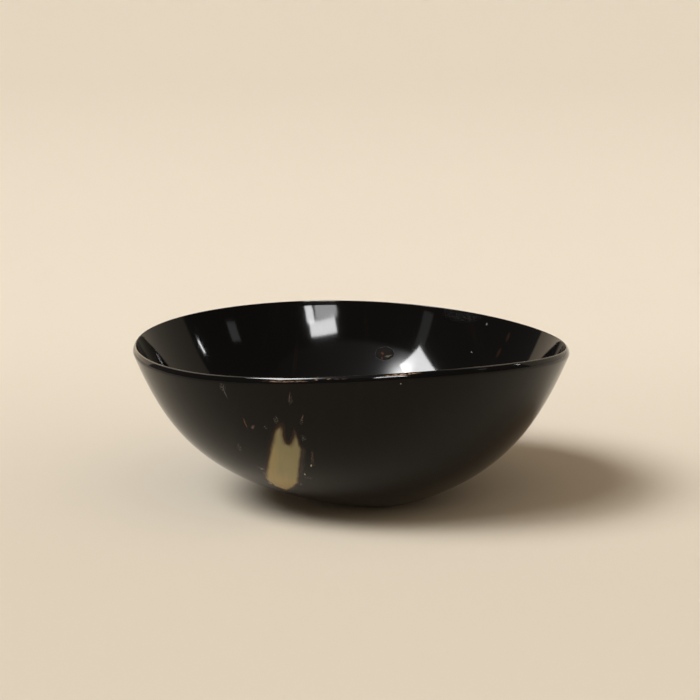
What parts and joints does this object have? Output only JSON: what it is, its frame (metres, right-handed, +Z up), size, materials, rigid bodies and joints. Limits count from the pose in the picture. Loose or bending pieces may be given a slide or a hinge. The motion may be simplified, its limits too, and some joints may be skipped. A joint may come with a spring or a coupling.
{
  "type": "horn bowl",
  "caption": "Round bowl pressed from black horn, with a flared wall, a slightly warped and bevelled lip and a small ground flat to stand on; holds fruit, nuts or small things.",
  "frame": {"origin": "on the table, under the middle of the rim", "axes": "+Z up, +X towards the fuller side of the wall (right in the picture), -Y towards the viewer of the picture"},
  "size_m": [0.2, 0.2, 0.0783],
  "materials": {
    "black_horn": "polished black horn with a pale streak, brown flecks and small pits"
  },
  "bodies": {
    "root": {"bowl_shell": "black_horn"}
  },
  "joints": []
}
